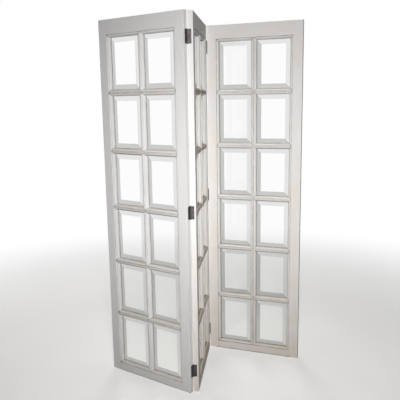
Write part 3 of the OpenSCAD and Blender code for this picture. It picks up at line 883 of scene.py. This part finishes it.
def pale_floor_material():
    material, tree = blank_material("pale_floor")
    place = add(tree, "ShaderNodeTexCoord")
    mottle = noise(tree, place.outputs["Object"], MOTTLES_PER_METRE, MOTTLE_LAYERS)
    tone = blend(tree, ramp(tree, mottle, MOTTLE_FROM, MOTTLE_FULL), FLOOR_PALE, FLOOR_PALEST)
    seen = picture_ray(tree)
    lit = add(tree, "ShaderNodeBsdfDiffuse")
    feed(tree, lit.inputs["Color"], blend(tree, seen, FLOOR_BOUNCE, tone))
    lift = add(tree, "ShaderNodeEmission")
    feed(tree, lift.inputs["Strength"], calc(tree, "MULTIPLY", seen, FLOOR_LIFT))
    near = add(tree, "ShaderNodeAddShader")
    tree.links.new(lit.outputs[0], near.inputs[0])
    tree.links.new(lift.outputs[0], near.inputs[1])

    far = add(tree, "ShaderNodeEmission")
    away = add(tree, "ShaderNodeVectorMath", operation="LENGTH")
    tree.links.new(place.outputs["Object"], away.inputs[0])
    fade = ramp(tree, away.outputs["Value"], FLOOR_CLEAR, FLOOR_WHITE)
    both = add(tree, "ShaderNodeMixShader")
    feed(tree, both.inputs["Fac"], calc(tree, "MULTIPLY", fade, seen))
    tree.links.new(near.outputs[0], both.inputs[1])
    tree.links.new(far.outputs[0], both.inputs[2])
    show(tree, both.outputs[0])
    return material


floor_finish = pale_floor_material()
print("floor material:", floor_finish.name)

# %% [markdown]
# ## Lay the floor
#
# One large square face is enough for a floor.

# %% Lay the floor
FLOOR_HALF = 40.0

low, high = -FLOOR_HALF, FLOOR_HALF
floor_corners = [(low, low, 0), (high, low, 0), (high, high, 0), (low, high, 0)]
floor_mesh = bpy.data.meshes.new("pale_floor")
floor_mesh.from_pydata(floor_corners, [], [(0, 1, 2, 3)])
floor_mesh.materials.append(floor_finish)
floor = bpy.data.objects.new("pale_floor", floor_mesh)
floor.location.z = cad_low.z
bpy.context.scene.collection.objects.link(floor)
print("floor at height", floor.location.z)

# %% [markdown]
# ## The world
#
# The world does what the floor does: it is plain white for a picture ray, which makes the backdrop,
# and a weak fill for all other rays.

# %% Build the world
WHITE = (1.0, 1.0, 1.0, 1.0)
SOFT_FILL = 0.05

world = bpy.data.worlds.new("studio")
world.use_nodes = True
sky = world.node_tree
sky.nodes.clear()
sky_out = add(sky, "ShaderNodeOutputWorld")
fill = add(sky, "ShaderNodeBackground")
fill.inputs["Color"].default_value = WHITE
fill.inputs["Strength"].default_value = SOFT_FILL
backdrop = add(sky, "ShaderNodeBackground")
backdrop.inputs["Color"].default_value = WHITE
which = add(sky, "ShaderNodeMixShader")
feed(sky, which.inputs["Fac"], picture_ray(sky))
sky.links.new(fill.outputs[0], which.inputs[1])
sky.links.new(backdrop.outputs[0], which.inputs[2])
sky.links.new(which.outputs[0], sky_out.inputs["Surface"])
bpy.context.scene.world = world
print("world", world.name, "fills with", SOFT_FILL)

# %% [markdown]
# ## The camera
#
# The photograph was taken from standing height, a little above the screen's middle, and looks
# slightly down. We give the camera's place in metres and its tilt and roll in degrees, and build
# its matrix from those. A camera looks along its own -Z, with +Y up in the picture.

# %% Place the camera
EYE = Vector((-0.0277, -2.7469, 1.4285))
LOOK_DOWN = math.radians(10.3)
ROLL = math.radians(-0.87)
SENSOR_MM, LENS_MM = 36.0, 48.484

level_right = Vector((1, 0, 0))
forward = Vector((0, math.cos(LOOK_DOWN), -math.sin(LOOK_DOWN)))
level_up = Vector((0, math.sin(LOOK_DOWN), math.cos(LOOK_DOWN)))
right = level_right * math.cos(ROLL) + level_up * math.sin(ROLL)
up = level_up * math.cos(ROLL) - level_right * math.sin(ROLL)

camera_data = bpy.data.cameras.new("photo_camera")
camera_data.sensor_width = SENSOR_MM
camera_data.lens = LENS_MM
camera = bpy.data.objects.new("photo_camera", camera_data)
axes = Matrix((right, up, -forward)).transposed().to_4x4()
camera.matrix_world = Matrix.Translation(EYE) @ axes
bpy.context.scene.collection.objects.link(camera)
bpy.context.scene.camera = camera
print("camera at", [round(c, 3) for c in EYE], "with a lens of", LENS_MM, "mm")

# %% [markdown]
# ## The lamps
#
# In the photograph the light comes from the camera's side: faces that look at the camera are the
# brightest, and the middle panel, which we see from the edge, is in shade. One soft lamp beside the
# camera does that. Its spread is limited, so that the light is strongest a little above half height
# and fades towards the top and the floor, as it does in the photograph.
#
# The screen is also looked at from the back and from above, so three larger and weaker lamps stand
# there. A lamp behind the screen would show through the panes and mirror in them as a white patch.
# An object's ray visibility settings prevent that: it still gives light, but no camera ray, no ray
# through glass and, for the weak ones, no mirrored ray ever sees it.

# %% Place the lamps
def soft_lamp(name, place, target, size, watts, spread, mirrored=False):
    """A round area lamp that shines from place to target, with its spread in degrees."""
    data = bpy.data.lights.new(name, "AREA")
    data.shape = "DISK"
    data.size = size
    data.energy = watts
    data.spread = math.radians(spread)
    lamp = bpy.data.objects.new(name, data)
    lamp.location = place
    lamp.rotation_euler = (Vector(target) - Vector(place)).to_track_quat("-Z", "Y").to_euler()
    lamp.visible_camera = False
    lamp.visible_transmission = False
    lamp.visible_glossy = mirrored
    bpy.context.scene.collection.objects.link(lamp)
    return lamp


lamps = [
    soft_lamp("key_by_camera", (0.04, -2.92, 1.5), (0.13, -0.1, 0.99),
              size=0.5, watts=16.4, spread=80.0, mirrored=True),
    soft_lamp("soft_behind", (-0.25, 3.2, 1.7), (0.0, 0.1, 0.9),
              size=1.6, watts=14.0, spread=100.0),
    soft_lamp("soft_behind_left", (-2.6, 2.3, 1.6), (-0.1, 0.0, 0.9),
              size=1.6, watts=9.0, spread=100.0),
    soft_lamp("soft_above", (0.0, 0.1, 4.2), (0.0, 0.0, 0.0),
              size=1.2, watts=5.0, spread=110.0),
]
print("lamps:", [lamp.name for lamp in lamps])

# %% [markdown]
# ## Look
#
# Standard view transform shows colours about as they are written.

# %% Finish
bpy.context.scene.view_settings.view_transform = "Standard"
